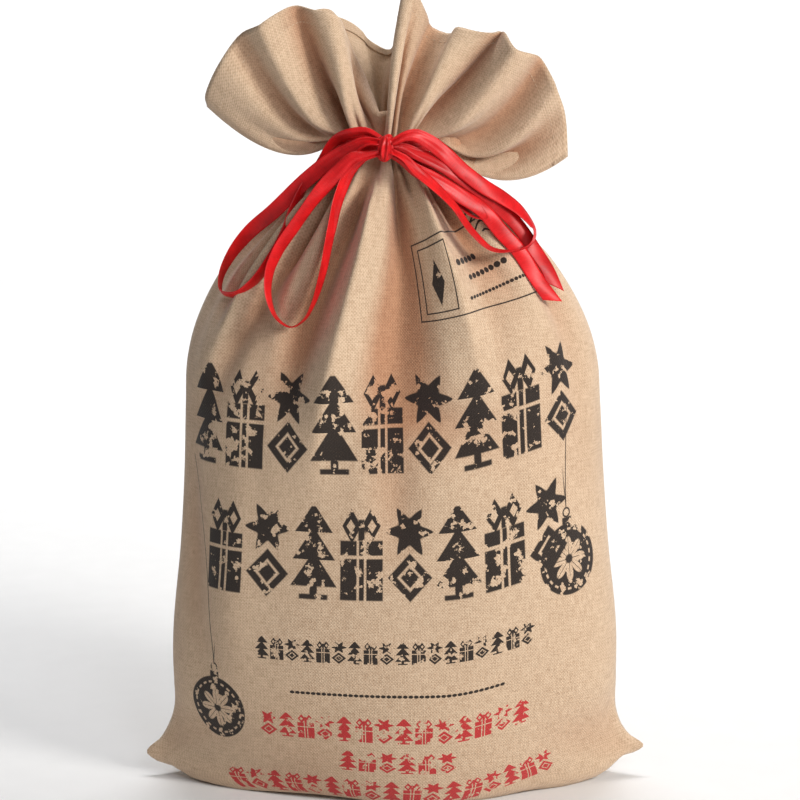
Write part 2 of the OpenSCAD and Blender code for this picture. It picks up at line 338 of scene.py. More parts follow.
BACK_FOLDS = (
    (bump, -8.0, 0.20, -0.06, 0.035, 0.07, 0.1800, 0.40),
    (bump, 8.0, 0.33, -0.03, 0.035, 0.07, 0.2250, 0.50),
    (bump, -11.0, 0.47, 0.00, 0.035, 0.07, 0.1890, 0.42),
    (bump, 8.0, 0.62, 0.04, 0.035, 0.07, 0.1620, 0.36),
    (bump, -9.0, 0.78, 0.05, 0.035, 0.07, 0.2025, 0.45),
)


def drop_from_neck(z):
    """Share of the way down from the neck to the floor."""
    return np.clip((NECK.z - z) / NECK.z, 0, 1)


def long_folds(u, drop, folds):
    """Outward swell of folds that run down from the neck, in mm."""
    swell = np.zeros_like(u)
    for shape, height, middle, lean, width, spread, fades, gone in folds:
        ridge = shape(u, middle + lean * drop, width + spread * drop)
        swell += height * ridge * (1 - ease(fades, gone, drop))
    return swell


def front_folds(u, z):
    """Outward swell of the front's own folds, in metres."""
    drop = drop_from_neck(z)
    swell = long_folds(u, drop, FRONT_FOLDS)
    # the wedge runs on as a soft hollow
    swell -= 7.0 * bump(u, 0.505, 0.045) * ease(0.3, 0.42, drop) * (1 - ease(0.50, 0.68, drop))
    swell = swell * ease(0.02, 0.10, drop)
    # the hollow under the shoulder's flat and the slack cloth above the floor
    swell -= 9.0 * bump(u - 0.9 * (drop - 0.42), 0.60, 0.10) * bump(drop, 0.40, 0.05)
    swell -= 6.0 * bump(u, 0.10 + 0.03 * np.sin(9 * drop), 0.035) * bump(drop, 0.62, 0.16)
    swell += 4.0 * bump(u, 0.21 + 0.02 * np.sin(7 * drop), 0.05) * bump(drop, 0.66, 0.15)
    swell += 4.5 * ease(0.72, 0.92, drop) * np.sin(11 * u + 1.0) * bump(u, 0.5, 0.35)
    return swell * MM


def back_folds(u, z):
    """Outward swell of the back's own folds, in metres."""
    drop = drop_from_neck(z)
    swell = long_folds(u, drop, BACK_FOLDS) * ease(0.03, 0.12, drop)
    swell += 4.0 * ease(0.7, 0.92, drop) * np.sin(9 * u + 2.0) * bump(u, 0.5, 0.35)
    return swell * MM


def creases(u, z, seed):
    """Small soft wrinkles, stronger beside the corners at the base and under the neck."""
    drop = drop_from_neck(z)
    edge = np.abs(2 * u - 1)
    corner = ease(0.45, 0.95, edge) * ease(0.70, 0.95, drop)
    fan = np.sin(26 * (1 - drop) * (1.2 - edge) * 3 + 9 * edge + seed) * corner
    soft = ripple(u * 9, drop * 9, seed, 1.0) * (0.35 + 0.9 * ease(0.35, 0.05, drop))
    small = ripple(u * 30, drop * 14, seed + 4, 1.0) * ease(0.45, 0.1, drop) * ease(0.02, 0.1, drop)
    return (4.2 * fan + 4.0 * soft + 1.3 * small) * MM


def body_points(u, v, side):
    """Smooth body of one panel, before its folds: side -1 is the front and 1 the back."""
    z, a, b, k, reach = body_row(v)
    angle = even_angles(u, a, b, k, reach)
    lean = NECK.x * (z / NECK.z) ** 3
    x = lean - a * np.cos(angle)
    y = side * b * reach * np.sin(angle) ** k
    raised = np.where(u < 0.5, *CORNERS_UP)
    sit = raised * (1 - np.clip(z / 0.05, 0, 1)) * ease(0.86, 1.0, np.abs(2 * u - 1))
    return np.stack([x, y, z + sit], axis=-1)


def top_points(u, v, mouth, side):
    """Smooth fanned top of one panel, before its folds."""
    t = (v - NECK_ROW) / (1 - NECK_ROW)
    start = body_points(u, np.full_like(v, NECK_ROW), side)
    end = through_keys(mouth, u) * MM + np.array(NECK)
    edge = np.abs(np.cos(math.pi * u)) ** 5
    sag = np.where((u < 0.5)[:, None], np.array(LEFT_SAG), np.array(RIGHT_SAG)) * MM
    sag = sag + np.array(NECK)
    toward = end - start
    up = start + toward * np.array([0.30, 0.12, 0.0]) + np.array([0, 0, 0.052])
    control = up * (1 - edge)[:, None] + sag * edge[:, None]
    t = t[:, None]
    return (1 - t) ** 2 * start + 2 * t * (1 - t) * control + t * t * end


# Folds that widen from the tie to the mouth: shape, height in mm, middle, width, then the share of
# the height at the tie and how much of it is lost by the mouth.
FRONT_TOP_FOLDS = (
    (bump, -17, 0.125, 0.022, 1.15, 0.5), (fold_line, 11, 0.165, 0.030, 1.0, 0.0),
    (bump, 8, 0.060, 0.040, 1.0, 0.0), (bump, -14, 0.245, 0.026, 1.2, 0.6),
    (bump, 9, 0.305, 0.030, 1.0, 0.0), (bump, -16, 0.605, 0.016, 1.1, 0.4),
    (fold_line, 12, 0.665, 0.028, 1.0, 0.0), (bump, -13, 0.735, 0.026, 1.1, 0.3),
    (bump, 10, 0.795, 0.028, 1.0, 0.0), (bump, -9, 0.865, 0.024, 1.0, 0.0),
    (bump, 7, 0.910, 0.020, 1.0, 0.0),
)
BACK_TOP_FOLDS = tuple((bump, height, middle, 0.035, 1.0, 0.0) for middle, height in (
    (0.1, -9), (0.2, 8), (0.31, -10), (0.43, 9), (0.55, -10), (0.68, 9), (0.79, -9), (0.9, 7)))
# The front's tucks, which close again at the mouth: height in mm, middle and width.
FRONT_TUCKS = ((-10, 0.385, 0.018), (-14, 0.545, 0.012), (9, 0.515, 0.018), (-20, 0.955, 0.022))


def top_folds(u, t, side):
    """Outward swell of the fanned top's broad folds, in metres."""
    folds, tucks = (FRONT_TOP_FOLDS, FRONT_TUCKS) if side < 0 else (BACK_TOP_FOLDS, ())
    widening = ease(0.0, 0.45, t)
    closing = np.sin(math.pi * np.clip(t, 0, 1) ** 0.8)
    swell = np.zeros_like(u)
    for shape, height, middle, width, first, lost in folds:
        swell += height * shape(u, middle, width) * widening * (first - lost * t)
    for height, middle, width in tucks:
        swell += height * bump(u, middle, width) * closing
    return swell * MM


def outward(net, side):
    """Unit normals of a sheet given as a regular net of points."""
    normal = np.cross(np.gradient(net, axis=1), np.gradient(net, axis=0))
    normal = normal / np.maximum(np.linalg.norm(normal, axis=2, keepdims=True), 1e-12)
    return -normal if side > 0 else normal


COLUMNS, ROWS = 132, 220
NETS = {}        # points and normals of each panel, worked out once
# Painted shade: the valley depth of each point below darkens and tints the cloth's colour there.
PAINTED_VALLEY_SHADE = {}     # how deep in a valley each point lies, from 0 to 1


def panel_net(side):
    """Points and normals of one panel, folds and gathers included, as rows from the bottom up."""
    if side in NETS:
        return NETS[side]
    sack = settings()[0]
    seed = 1.0 if side < 0 else 2.6
    mouth = FRONT_MOUTH if side < 0 else BACK_MOUTH
    v, u = (part.ravel() for part in np.meshgrid(np.linspace(0, 1, ROWS + 1),
                                                 np.linspace(0, 1, COLUMNS + 1), indexing="ij"))
    on_top = v > NECK_ROW
    points = body_points(u, np.minimum(v, NECK_ROW), side)
    points[on_top] = top_points(u[on_top], v[on_top], mouth, side)
    shape = (ROWS + 1, COLUMNS + 1, 3)
    normal = outward(points.reshape(shape), side).reshape(-1, 3)
    height = points[:, 2]
    t = np.clip((v - NECK_ROW) / (1 - NECK_ROW), 0, 1)
    away = np.where(on_top, t * TOP_HEIGHT, np.clip(NECK.z - height, 0, 1))
    seam = ease(0.0, 0.035, np.minimum(u, 1 - u))
    dent = gathers(u, away, sack.pleats, sack.pleat_depth, seed) * seam
    folds = front_folds(u, height) if side < 0 else back_folds(u, height)
    waves = 1.5 * MM * ripple(u * 16, t * 4, seed, 1.0) * t
    swell = np.where(on_top, top_folds(u, t, side) + waves, folds + creases(u, height, seed))
    swell = swell * seam * ease(0.0, BASE_ROWS, v)
    points = points + normal * (swell - dent)[:, None]
    points[:, 2] = np.maximum(points[:, 2], 0.0)
    net = points.reshape(shape)
    NETS[side] = net, outward(net, side)
    # painted shade: the gathers' dents and the folds' valleys get a darker, pinker cloth colour
    PAINTED_VALLEY_SHADE[side] = np.clip((dent * 0.7 - swell) / VALLEY_DEPTH, 0, 1).reshape(shape[:2])
    return NETS[side]


def on_panel(u, v, side, lift=0.0):
    """Points on one panel at shares of its width and length, lifted off it by lift metres."""
    net, normal = panel_net(side)
    r, c = np.clip(v, 0, 1) * ROWS, np.clip(u, 0, 1) * COLUMNS
    i, j = np.minimum(r.astype(int), ROWS - 1), np.minimum(c.astype(int), COLUMNS - 1)
    fr, fc = (r - i)[:, None], (c - j)[:, None]

    def mixed(values):
        low = values[i, j] * (1 - fc) + values[i, j + 1] * fc
        high = values[i + 1, j] * (1 - fc) + values[i + 1, j + 1] * fc
        return low * (1 - fr) + high * fr
    return mixed(net) + mixed(normal) * np.reshape(lift, (-1, 1))


def across(u, side):
    """Columns run from left to right on the front and from right to left on the back."""
    return u if side < 0 else 1 - u


def flat_place(u, v):
    sack = settings()[0]
    return (u - 0.5) * sack.flat_width, v * sack.flat_length


def on_grid(piece):
    """Column and row of each point of a panel, read from its flat place."""
    sack = settings()[0]
    flat = np.zeros((len(piece.data.vertices), 2))
    layer = piece.data.uv_layers["cloth"].data
    for loop in piece.data.loops:
        flat[loop.vertex_index] = layer[loop.index].uv
    return (np.rint((flat[:, 0] / sack.flat_width + 0.5) * COLUMNS).astype(int),
            np.rint(flat[:, 1] / sack.flat_length * ROWS).astype(int))


def settle(piece, material, node=None, body="sack"):
    """Dress a finished piece, tie it to its body and hide the plain part it stands for."""
    dress(piece, material)
    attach(piece, body)
    if node:
        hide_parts(node)


def make_panel(node, side, material):
    sack = settings()[0]
    piece = grid_piece(node + "_cloth", COLUMNS, ROWS,
                       lambda u, v: on_panel(across(u, side), v, side), flat_place)
    column, row = on_grid(piece)
    # the valley depth, kept on the cloth so that the material can paint shade into its colour
    shade = PAINTED_VALLEY_SHADE[side][row, column if side < 0 else COLUMNS - column]
    hollow = piece.data.attributes.new("hollow", "FLOAT", "POINT")
    hollow.data.foreach_set("value", shade.astype(np.float32))
    thicken(piece, sack.cloth_thickness)
    settle(piece, material, node)


HEM_DEPTH = 0.018
SEAM_DEPTH = 0.008
SEAM_THICKNESS = 1.4 * MM
SEAM_INSET = 1.2 * MM


def make_hem(node, side, material):
    """The mouth's turned-in edge: a fold over the raw edge, then the strip down the inside."""
    sack = settings()[0]

    def place(u, v):
        turn = ease(0.0, 0.16, v)
        down = np.clip((v - 0.12) / 0.88, 0, 1)
        over = 1.0 * MM * np.cos(math.pi * turn) * (1 - down)
        lift = over - sack.cloth_thickness * (1.0 + 0.5 * turn) - 0.6 * MM
        return on_panel(across(u, side), 1 - down * HEM_DEPTH / sack.flat_length, side, lift)
    piece = grid_piece(node + "_cloth", COLUMNS, 12, place,
                       lambda u, v: ((u - 0.5) * sack.flat_width, v * HEM_DEPTH))
    thicken(piece, sack.cloth_thickness, 0.0)
    settle(piece, material, node)


def make_seam(node, ends, material):
    """A sewn allowance inside the sack: ends(v) gives its sewn edge and the way in, as arrays."""
    sack = settings()[0]

    def place(u, v):
        edge, inward = ends(v)
        return edge + inward * (SEAM_INSET + u * SEAM_DEPTH)[:, None]
    piece = grid_piece(node + "_cloth", 6, 160, place,
                       lambda u, v: (u * SEAM_DEPTH, v * sack.flat_length))
    thicken(piece, SEAM_THICKNESS, 0.0)
    settle(piece, material, node)


def side_edge(column):
    """The sewn edge up one side, at column 0 on the left or 1 on the right."""
    def ends(v):
        share = 0.005 + v * (NECK_ROW - 0.02)
        edge = on_panel(np.full_like(v, column), share, -1)
        inside = np.array([1.0 if column < 0.5 else -1.0, 0.0, 0.0])
        return edge, np.tile(inside, (len(v), 1))
    return ends


def base_edge(v):
    """The sewn edge along the base, and the way up from it."""
    edge = on_panel(0.02 + 0.96 * v, np.zeros_like(v), -1) + np.array([0, 0, SEAM_INSET])
    return edge, np.tile(np.array([0.0, 0.0, 1.0]), (len(v), 1))


STITCHES = 120
STITCH_LENGTH = 3.0 * MM
STITCH_RADIUS = 0.35 * MM
STITCH_LIFT = -0.05 * MM
STITCH_FROM_EDGE = HEM_DEPTH - 2 * MM


def make_stitches(name, side, material):
    """Short thread stitches along the hem, each a slim bar."""
    shape = bmesh.new()
    v = np.full(2, 1 - STITCH_FROM_EDGE / settings()[0].flat_length)
    for k in range(STITCHES):
        u = np.array([k + 0.2, k + 0.8]) / STITCHES
        a, b = (Vector(end) for end in on_panel(u, v, side, STITCH_LIFT))
        bar = bmesh.ops.create_cone(shape, segments=6, radius1=STITCH_RADIUS,
                                    radius2=STITCH_RADIUS, depth=1.0, cap_ends=True)["verts"]
        turn = (b - a).to_track_quat("Z", "Y")
        length = min(STITCH_LENGTH, (b - a).length)
        for vert in bar:
            vert.co = (a + b) / 2 + turn @ Vector((vert.co.x, vert.co.y, vert.co.z * length))
    for face in shape.faces:
        face.smooth = True
    settle(finished(name, shape), material)


def make_filling(material):
    """The soft filling, a little slacker than the cloth around it."""
    def place(u, v):
        turn = 2 * math.pi * u
        rise = 0.5 - 0.5 * np.cos(math.pi * v)
        z = 0.008 + rise * (FILLING_TOP - 0.06)
        share = z / NECK.z
        a = smooth_through(BODY_AT, [row[1] for row in OUTLINE], share) * HALF_W
        b = smooth_through(BODY_AT, [row[2] for row in OUTLINE], share) * HALF_D
        taper = np.sqrt(np.clip(1 - np.abs(2 * rise - 1) ** 7, 0, 1))
        quilt = 1 + 0.01 * ripple(u * 18, v * 12, 2.0, 1.0)
        sunk = 0.018 + 0.012 * share
        x = NECK.x * share ** 3 + (a * 0.93 - sunk) * np.cos(turn) * taper * quilt
        y = (b - sunk) * np.sin(turn) * taper * quilt
        return np.stack([x, y, z], axis=-1)
    piece = grid_piece("stuffing_wadding", 72, 60, place)
    close(piece)
    settle(piece, material, "stuffing")


def close(piece):
    """Weld the points of a wrapped grid that lie together, and point its faces outwards."""
    shape = bmesh.new()
    shape.from_mesh(piece.data)
    bmesh.ops.remove_doubles(shape, verts=shape.verts, dist=1e-5)
    bmesh.ops.recalc_face_normals(shape, faces=shape.faces)
    shape.to_mesh(piece.data)
    shape.free()


# ---------------- ribbons

# Each route is where the ribbon's middle runs, in mm from the base's centre; turns is how far the
# ribbon has rolled about its own run by each even step along it, in degrees.
RIBBONS = {
    "left_outer_loop": dict(
        body="left_outer", far_end="object",
        turns=(30, 66, 72, 66, 64, 78, 110, 146, 166, 172, 180),
        route=((-13, -52, 607), (-25, -48, 613), (-38, -44, 611), (-54, -30, 601), (-67, -23, 581),
               (-80, -31, 563), (-89, -40, 546), (-98, -52, 522), (-112, -58, 498), (-126, -58, 480),
               (-142, -51, 468), (-155, -41, 469), (-156, -31, 479), (-148, -27, 497),
               (-131, -27, 519), (-109, -34, 539), (-75, -38, 572), (-54, -43, 589),
               (-38, -51, 599), (-25, -56, 606), (-13, -59, 605))),
    "left_inner_loop": dict(
        body="left_inner", far_end="object",
        turns=(0, 8, 46, 52, 66, 84, 98, 112, 122, 130, 142),
        route=((-13, -61, 597), (-25, -61, 594), (-34, -60, 593), (-49, -58, 580), (-70, -59, 557),
               (-89, -62, 531), (-102, -64, 512), (-111, -67, 490), (-111, -73, 467),
               (-102, -81, 450), (-91, -86, 445), (-80, -88, 452), (-72, -86, 466), (-64, -82, 490),
               (-56, -70, 528), (-48, -58, 560), (-36, -51, 583), (-25, -52, 592), (-13, -56, 596))),
    "right_outer_loop": dict(
        body="right_outer", far_end="object",
        turns=(0, 4, 6, 10, 30, 72, 104, 120, 126, 140, 170),
        route=((-3, -61, 605), (9, -60, 611), (17, -58, 612), (29, -54, 606), (44, -49, 594),
               (61, -49, 578), (79, -46, 564), (96, -39, 553), (112, -31, 540), (124, -30, 523),
               (120, -45, 513), (103, -62, 510), (84, -73, 514), (69, -74, 528), (51, -69, 552),
               (32, -69, 571), (19, -68, 582), (9, -64, 592), (-3, -62, 598))),
    "right_inner_loop": dict(
        body="right_inner", far_end="object", turns=(10, 10, 16, 40, 90, 130, 150, 160, 160),
        route=((-2, -52, 594), (9, -48, 588), (20, -47, 585), (35, -45, 577), (50, -45, 565),
               (60, -50, 550), (70, -52, 539), (81, -49, 536), (78, -48, 546), (64, -46, 558),
               (43, -44, 579), (23, -46, 591), (9, -49, 597), (-2, -53, 600))),
    "front_tail": dict(
        body="tails", far_end="bare", turns=(0, 5, 12, 6, 0, 8, 4),
        route=((-3, -59, 595), (9, -58, 588), (17, -59, 582), (32, -60, 574), (56, -57, 559),
               (78, -54, 544), (94, -51, 525), (110, -49, 507), (126, -50, 482), (144, -49, 457))),
    "rear_tail": dict(
        body="tails", far_end="bare", turns=(10, 20, 10, 0, 6, 14, 10),
        route=((-3, -57, 602), (9, -56, 600), (17, -55, 596), (35, -52, 588), (61, -48, 571),
               (87, -41, 550), (107, -32, 530), (124, -31, 506), (136, -35, 488), (145, -41, 467))),
}
RIBBON_ROWS = 150
RIBBON_COLUMNS = 10
ROUTE_SMOOTHINGS = 24
SLANT = 0.0125       # how far the slant cut of a free end runs back
PINCH_RUN = 0.024    # how far from the knot the ribbon widens again
CREASE_RUN = 0.05    # how far from the knot its creases reach
CORD_POINTS = 36
CORD_SPARE = 0.0005


def unit(v):
    return v / np.linalg.norm(v, axis=-1, keepdims=True)


def facing(route):
    """The way that the neck and the shoulder face beneath each point of a route."""
    return unit(np.stack([(route[:, 0] - NECK.x) / 0.650, route[:, 1] / 0.090 - 0.7,
                          np.full(len(route), 0.42)], axis=-1))


def make_ribbon(node, material):
    """One run of ribbon along its route: pinched at the knot, slant-cut at a free end."""
    facts, ribbon = RIBBONS[node], settings()[1]
    is_loop = facts["far_end"] == "object"
    route = curve_through(np.array(facts["route"]) * MM, np.linspace(0, 1, 4 * RIBBON_ROWS + 1))
    for _ in range(ROUTE_SMOOTHINGS):
        route[1:-1] += 0.5 * ((route[:-2] + route[2:]) / 2 - route[1:-1])
    run = np.concatenate([[0], np.cumsum(np.linalg.norm(np.diff(route, axis=0), axis=1))])
    length = run[-1]
    heading = unit(np.gradient(route, run, axis=0))
    side = unit(np.cross(heading, facing(route)))
    up = unit(np.cross(side, heading))
    turns = facts["turns"]
    turn = np.radians(smooth_through(np.linspace(0, 1, len(turns)), turns, run / length))
    cosine, sine = np.cos(turn)[:, None], np.sin(turn)[:, None]
    side, up = side * cosine + up * sine, up * cosine - side * sine
    cut = 0 if is_loop else SLANT / length

    def at(s, rail):
        return np.stack([np.interp(s, run, rail[:, k]) for k in range(3)], axis=-1)

    def place(u, v):
        s = length * (v - cut * u * v ** 3)
        knot = np.minimum(s, length - s) if is_loop else s
        near = np.exp(-((knot / PINCH_RUN) ** 2))
        wide = ribbon.width * (1 - (1 - ribbon.pinch) * near)
        w = 2 * u - 1
        crown = 0.9 * MM * (1 - w * w) * (1 - near) + 0.25 * MM * np.sin(3 * v * 9 + 2 * u)
        fold = 1.7 * MM * np.cos(2.6 * math.pi * u + 1.2) * near
        dent = 0.5 * MM * np.cos(5 * math.pi * u + 0.6) * np.exp(-((knot / CREASE_RUN) ** 2))
        return (at(s, route) + at(s, side) * (w * wide / 2)[:, None]
                + at(s, up) * (crown + fold + dent)[:, None])
    piece = grid_piece(node + "_satin", RIBBON_COLUMNS, RIBBON_ROWS, place,
                       lambda u, v: (u * ribbon.width, v * length))
    thicken(piece, ribbon.thickness, 0.0)
    settle(piece, material, node, facts["body"])
    shown = length * (1 - cut / 2) - CORD_SPARE
    centre = [tuple(float(part) for part in at(s, route))
              for s in np.linspace(0, shown, CORD_POINTS)]


def make_wrap(material):
    """The ribbon wound round the neck, drawn into three uneven strands."""
    ribbon = settings()[1]
    tall = BAND / 2 * 0.98

    def place(u, v):
        turn, round_it = 2 * math.pi * u, 2 * math.pi * v
        outer = ease(-0.2, 0.6, np.cos(round_it))
        height = -tall * np.sin(round_it)
        strand = np.abs(np.sin(1.5 * math.pi * (height / tall + 1) + 0.35 * np.sin(2 * turn)))
        crease = 0.5 * np.sin(3 * round_it + 5 * turn) + 0.3 * np.sin(23 * turn + 2 * round_it)
        swell = outer * (1.0 * strand + 0.35 * crease) * MM
        radius = NECK_R + (1.6 + 0.9 * np.cos(round_it)) * MM + swell
        z = NECK.z + height + outer * 0.9 * MM * np.sin(3 * turn + 1)
        return np.stack([NECK.x + radius * np.cos(turn), NECK.y + radius * np.sin(turn), z],
                        axis=-1)
    piece = grid_piece("ribbon_wrap_satin", 180, 36, place,
                       lambda u, v: (v * ribbon.width * 2, u * 2 * math.pi * NECK_R))
    close(piece)
    settle(piece, material, "ribbon_wrap")


def make_knot(material):
    """The knot: a plump crossing of ribbon with folds drawn towards its pinched ends."""
    def place(u, v):
        turn, rise = 2 * math.pi * u, math.pi * (v - 0.5)
        plump = np.abs(np.cos(rise)) ** 0.75
        fold = 1 + 0.13 * np.sin(9 * turn + 2.0 * v) * plump + 0.06 * np.sin(4 * turn - 7 * v)
        x = KNOT.x + KNOT_HALF.x * 0.82 * plump * np.cos(turn) * fold
        y = KNOT.y + KNOT_HALF.y * 0.98 * plump * np.sin(turn) * fold
        z = KNOT.z + KNOT_HALF.z * 0.86 * np.sin(rise) + 1.2 * MM * np.sin(2 * turn)
        return np.stack([x + 0.16 * (z - KNOT.z), y, z], axis=-1)
    piece = grid_piece("ribbon_knot_satin", 96, 40, place, lambda u, v: (u * 0.04, v * 0.03))
    close(piece)
    settle(piece, material, "ribbon_knot")


# ---------------- materials

class Term:
    """A number in a material, written with ordinary arithmetic."""

    def __init__(self, nodes, socket):
        self.nodes, self.socket = nodes, socket

    def made(self, operation, *others):
        return self.nodes.math(operation, self, *others)

    def __add__(self, other):
        return self.made("ADD", other)

    def __sub__(self, other):
        return self.made("SUBTRACT", other)

    def __mul__(self, other):
        return self.made("MULTIPLY", other)

    def __truediv__(self, other):
        return self.made("DIVIDE", other)

    def __pow__(self, other):
        return self.made("POWER", other)

    def __neg__(self):
        return self * -1.0

    def __abs__(self):
        return self.made("ABSOLUTE")

    def sine(self):
        return self.made("SINE")

    def either(self, other):
        """The larger of the two."""
        return self.made("MAXIMUM", other)

    def rest(self):
        """What is left of 1."""
        return -self + 1.0

    def below(self, edge, soft):
        """1 where this is under the edge, 0 over it, with a soft step between."""
        return self.nodes.between(self, edge + soft, edge - soft)

    def above(self, edge, soft):
        """1 where this is over the edge, 0 under it, with a soft step between."""
        return self.nodes.between(self, edge - soft, edge + soft)

    def inside(self, middle, half, soft):
        """1 where this is within half of the middle, with soft steps at both ends."""
        return abs(self - middle).below(half, soft)


class Nodes:
    """A material's node tree, with short calls for the nodes that these materials use."""

    def __init__(self, name):
        self.material = bpy.data.materials.get(name) or bpy.data.materials.new(name)
        self.material.use_nodes = True
        self.tree = self.material.node_tree
        self.tree.nodes.clear()
        self.shader = self.new("BsdfPrincipled")
        output = self.new("OutputMaterial")
        self.tree.links.new(self.shader.outputs[0], output.inputs[0])

    def new(self, kind):
        return self.tree.nodes.new("ShaderNode" + kind)

    def plug(self, socket, value):
        """Link a term or a socket, or set a plain number or colour."""
        if isinstance(value, Term):
            value = value.socket
        if isinstance(value, bpy.types.NodeSocket):
            self.tree.links.new(value, socket)
        elif isinstance(value, (tuple, list)) and len(value) == 3:
            socket.default_value = (*value, 1)
        else:
            socket.default_value = value

    def math(self, operation, *values):
        node = self.new("Math")
        node.operation = operation
        for socket, value in zip(node.inputs, values):
            self.plug(socket, value)
        return Term(self, node.outputs[0])

    def place(self, uv_map=None, scale=(1, 1, 1), turn=0.0):
        """Where a point is, in metres: on the flat piece if a UV map is named, or in space."""
        if uv_map:
            where = self.new("UVMap")
            where.uv_map = uv_map
            socket = where.outputs[0]
        else:
            socket = self.new("TexCoord").outputs["Object"]
        mapping = self.new("Mapping")
        self.plug(mapping.inputs["Vector"], socket)
        mapping.inputs["Scale"].default_value = scale
        mapping.inputs["Rotation"].default_value = (0, 0, turn)
        return mapping.outputs[0]

    def noise(self, place, scale=1.0, detail=3.0, roughness=0.5):
        node = self.new("TexNoise")
        self.plug(node.inputs["Vector"], place)
        node.inputs["Scale"].default_value = scale
        node.inputs["Detail"].default_value = detail
        node.inputs["Roughness"].default_value = roughness
        return Term(self, node.outputs[0])

    def split(self, place):
        """The first two parts of a place, as terms."""
        node = self.new("SeparateXYZ")
        self.plug(node.inputs[0], place)
        return [Term(self, part) for part in node.outputs[:2]]

    def attribute(self, name):
        node = self.new("Attribute")
        node.attribute_name = name
        return Term(self, node.outputs["Fac"])

    def between(self, value, low, high, to_low=0.0, to_high=1.0):
        """A smooth step from to_low, where the value is low, to to_high, where it is high."""
        node = self.new("MapRange")
        node.interpolation_type = "SMOOTHSTEP"
        for socket, part in zip(node.inputs, (value, low, high, to_low, to_high)):
            self.plug(socket, part)
        return Term(self, node.outputs[0])

    def mix(self, share, first, second, how="MIX"):
        node = self.new("Mix")
        node.data_type = "RGBA"
        node.blend_type = how
        sockets = node.inputs[0], node.inputs[6], node.inputs[7]
        for socket, part in zip(sockets, (share, first, second)):
            self.plug(socket, part)
        return node.outputs[2]

    def bump(self, height, distance, strength=1.0):
        node = self.new("Bump")
        node.inputs["Distance"].default_value = distance
        node.inputs["Strength"].default_value = strength
        self.plug(node.inputs["Height"], height)
        self.tree.links.new(node.outputs[0], self.shader.inputs["Normal"])

    def set(self, **values):
        for name, value in values.items():
            self.plug(self.shader.inputs[name.replace("_", " ")], value)


THREAD_PITCH = 1.5 * MM
THREAD_WANDER = 1.2 * MM


def weave(nodes):
    """Colour share and height of a plain weave of uneven, slubby threads."""
    place = nodes.place("cloth")
    x, y = nodes.split(place)
    wobble = nodes.noise(place, 60, 2) * THREAD_WANDER
    rate = math.pi / THREAD_PITCH
    over = ((x + wobble) * rate).sine() * ((y + wobble) * rate).sine()
    slubs = (nodes.noise(nodes.place("cloth", (760, 85, 1)), 1.0, 3, 0.6)
             + nodes.noise(nodes.place("cloth", (85, 760, 1)), 1.0, 3, 0.6))
    grit = nodes.noise(place, 900, 2, 0.6)
    return over * 0.17 + (slubs + grit * 0.35) * 0.9, over * 0.35 + slubs * 0.9


# Painted shade: the pinkish brown that the cloth colour is multiplied by in the deepest valleys of
# its folds.
PAINTED_VALLEY_TINT = (0.70, 0.46, 0.36)


def cloth_material(name, shade=1.0, printed=False):
    colours = settings()[2]
    nodes = Nodes(name)
    threads, height = weave(nodes)
    mottle = nodes.noise(nodes.place("cloth"), 14, 4, 0.6)
    # A shade below 1 makes a darker copy of the cloth for pieces lying in shade: painted shade.
    light = tuple(part * shade for part in colours.cloth)
    dark = tuple(part * shade for part in colours.cloth_dark)
    colour = nodes.mix(nodes.between(threads + mottle * 0.25, 0.72, 1.55), dark, light)
    # painted shade: the cloth is darkened and tinted pinkish brown where the valleys are deep
    colour = nodes.mix(nodes.attribute("hollow") * 0.85, colour,
                       nodes.mix(1.0, colour, PAINTED_VALLEY_TINT, "MULTIPLY"))
    if printed:
        colour = print_ornament(nodes, colour, threads)
    nodes.set(Base_Color=colour, Roughness=0.92, Sheen_Weight=0.25, Sheen_Roughness=0.5,
              Specular_IOR_Level=0.15)
    nodes.bump(height, 0.35 * MM, 0.8)
    return nodes.material


# Printed rows, in metres on the flat cloth: middle height, half height, middle and half of its
# width, width of one motif, kind of the first motif, and 1 for red ink.
FIRST_FIR, FIRST_PARCEL, FIRST_STAR, DOTS = range(4)
PRINT_ROWS = (
    (0.4190, 0.0450, -0.0100, 0.2050, 0.04555, FIRST_FIR, 0),
    (0.3050, 0.0430, -0.0080, 0.1800, 0.04500, FIRST_PARCEL, 0),
    (0.2165, 0.0105, 0.0000, 0.1305, 0.01450, FIRST_FIR, 0),
    (0.1770, 0.0016, 0.0020, 0.1000, 0.00500, DOTS, 0),
    (0.1450, 0.0120, -0.0010, 0.1300, 0.01857, FIRST_STAR, 1),
    (0.1150, 0.0100, 0.0020, 0.0555, 0.01850, FIRST_FIR, 1),
    (0.0860, 0.0110, -0.0030, 0.1575, 0.01853, FIRST_PARCEL, 1),
    (0.5500, 0.0030, 0.1040, 0.0225, 0.00900, DOTS, 0),
    (0.5360, 0.0026, 0.1250, 0.0300, 0.00750, DOTS, 0),
    (0.5200, 0.0016, 0.1370, 0.0500, 0.00500, DOTS, 0),
)
BAUBLES = ((-0.174, 0.153, 0.0295), (0.171, 0.270, 0.0320))   # x, y and radius
LABEL = (0.120, 0.540, 0.086, 0.033)      # x, y, half width and half height
WAVY_BARS = (0.156, 0.578, 0.019)         # x, y and radius


def fir(narrow, up):
    """Three tiers on a stem and a foot."""
    tier = ((-up + 1.0) * 1.75).made("FRACT")
    edge = tier * 0.66 + (-up + 1.0) * 0.17 + 0.05
    tree = (narrow - edge).below(0.0, 0.03) * up.above(-0.70, 0.02)
    tree = tree.either(narrow.below(0.16, 0.03) * up.below(-0.60, 0.02))
    foot = narrow.below(0.60, 0.04) * up.below(-0.86, 0.02)
    return tree.either(foot) * up.inside(0.0, 0.97, 0.02)


